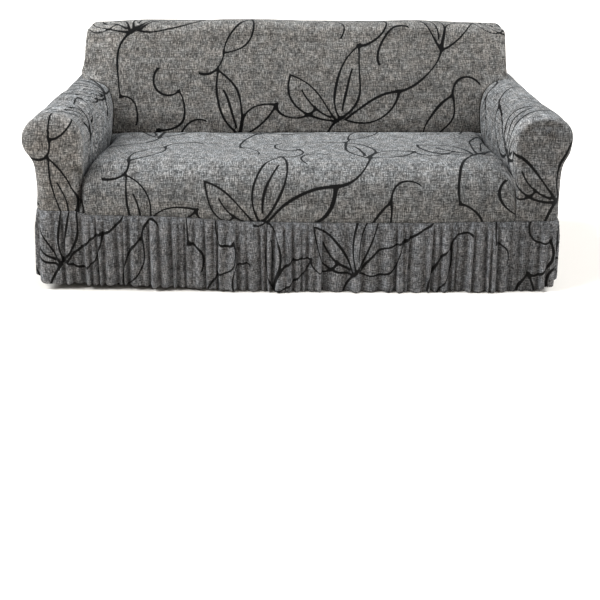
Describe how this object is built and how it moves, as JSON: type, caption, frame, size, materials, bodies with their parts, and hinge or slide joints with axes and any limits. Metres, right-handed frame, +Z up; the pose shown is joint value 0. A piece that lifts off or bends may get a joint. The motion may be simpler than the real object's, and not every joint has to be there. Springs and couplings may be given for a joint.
{
  "type": "sofa slipcover",
  "caption": "Fitted stretch cover for a three-seater sofa with rolled arms and a gathered skirt, hollow underneath so that it drops over the sofa.",
  "frame": {"origin": "under the middle of the cover, level with the lowest hem", "axes": "+X along the sofa to the right as seen from the front, +Y to its rear, +Z up"},
  "size_m": [1.9228, 0.884, 0.86],
  "materials": {
    "body_cloth": "matt heathered grey jacquard weave with thin black leaf outlines",
    "skirt_cloth": "the same weave, gathered"
  },
  "bodies": {
    "root": {"inside_back": "body_cloth", "outside_back": "body_cloth", "seat": "body_cloth", "arm_left": "body_cloth", "arm_right": "body_cloth", "arm_front_left": "body_cloth", "arm_front_right": "body_cloth", "skirt_front": "skirt_cloth", "skirt_back": "skirt_cloth", "skirt_left": "skirt_cloth", "skirt_right": "skirt_cloth"}
  },
  "joints": []
}
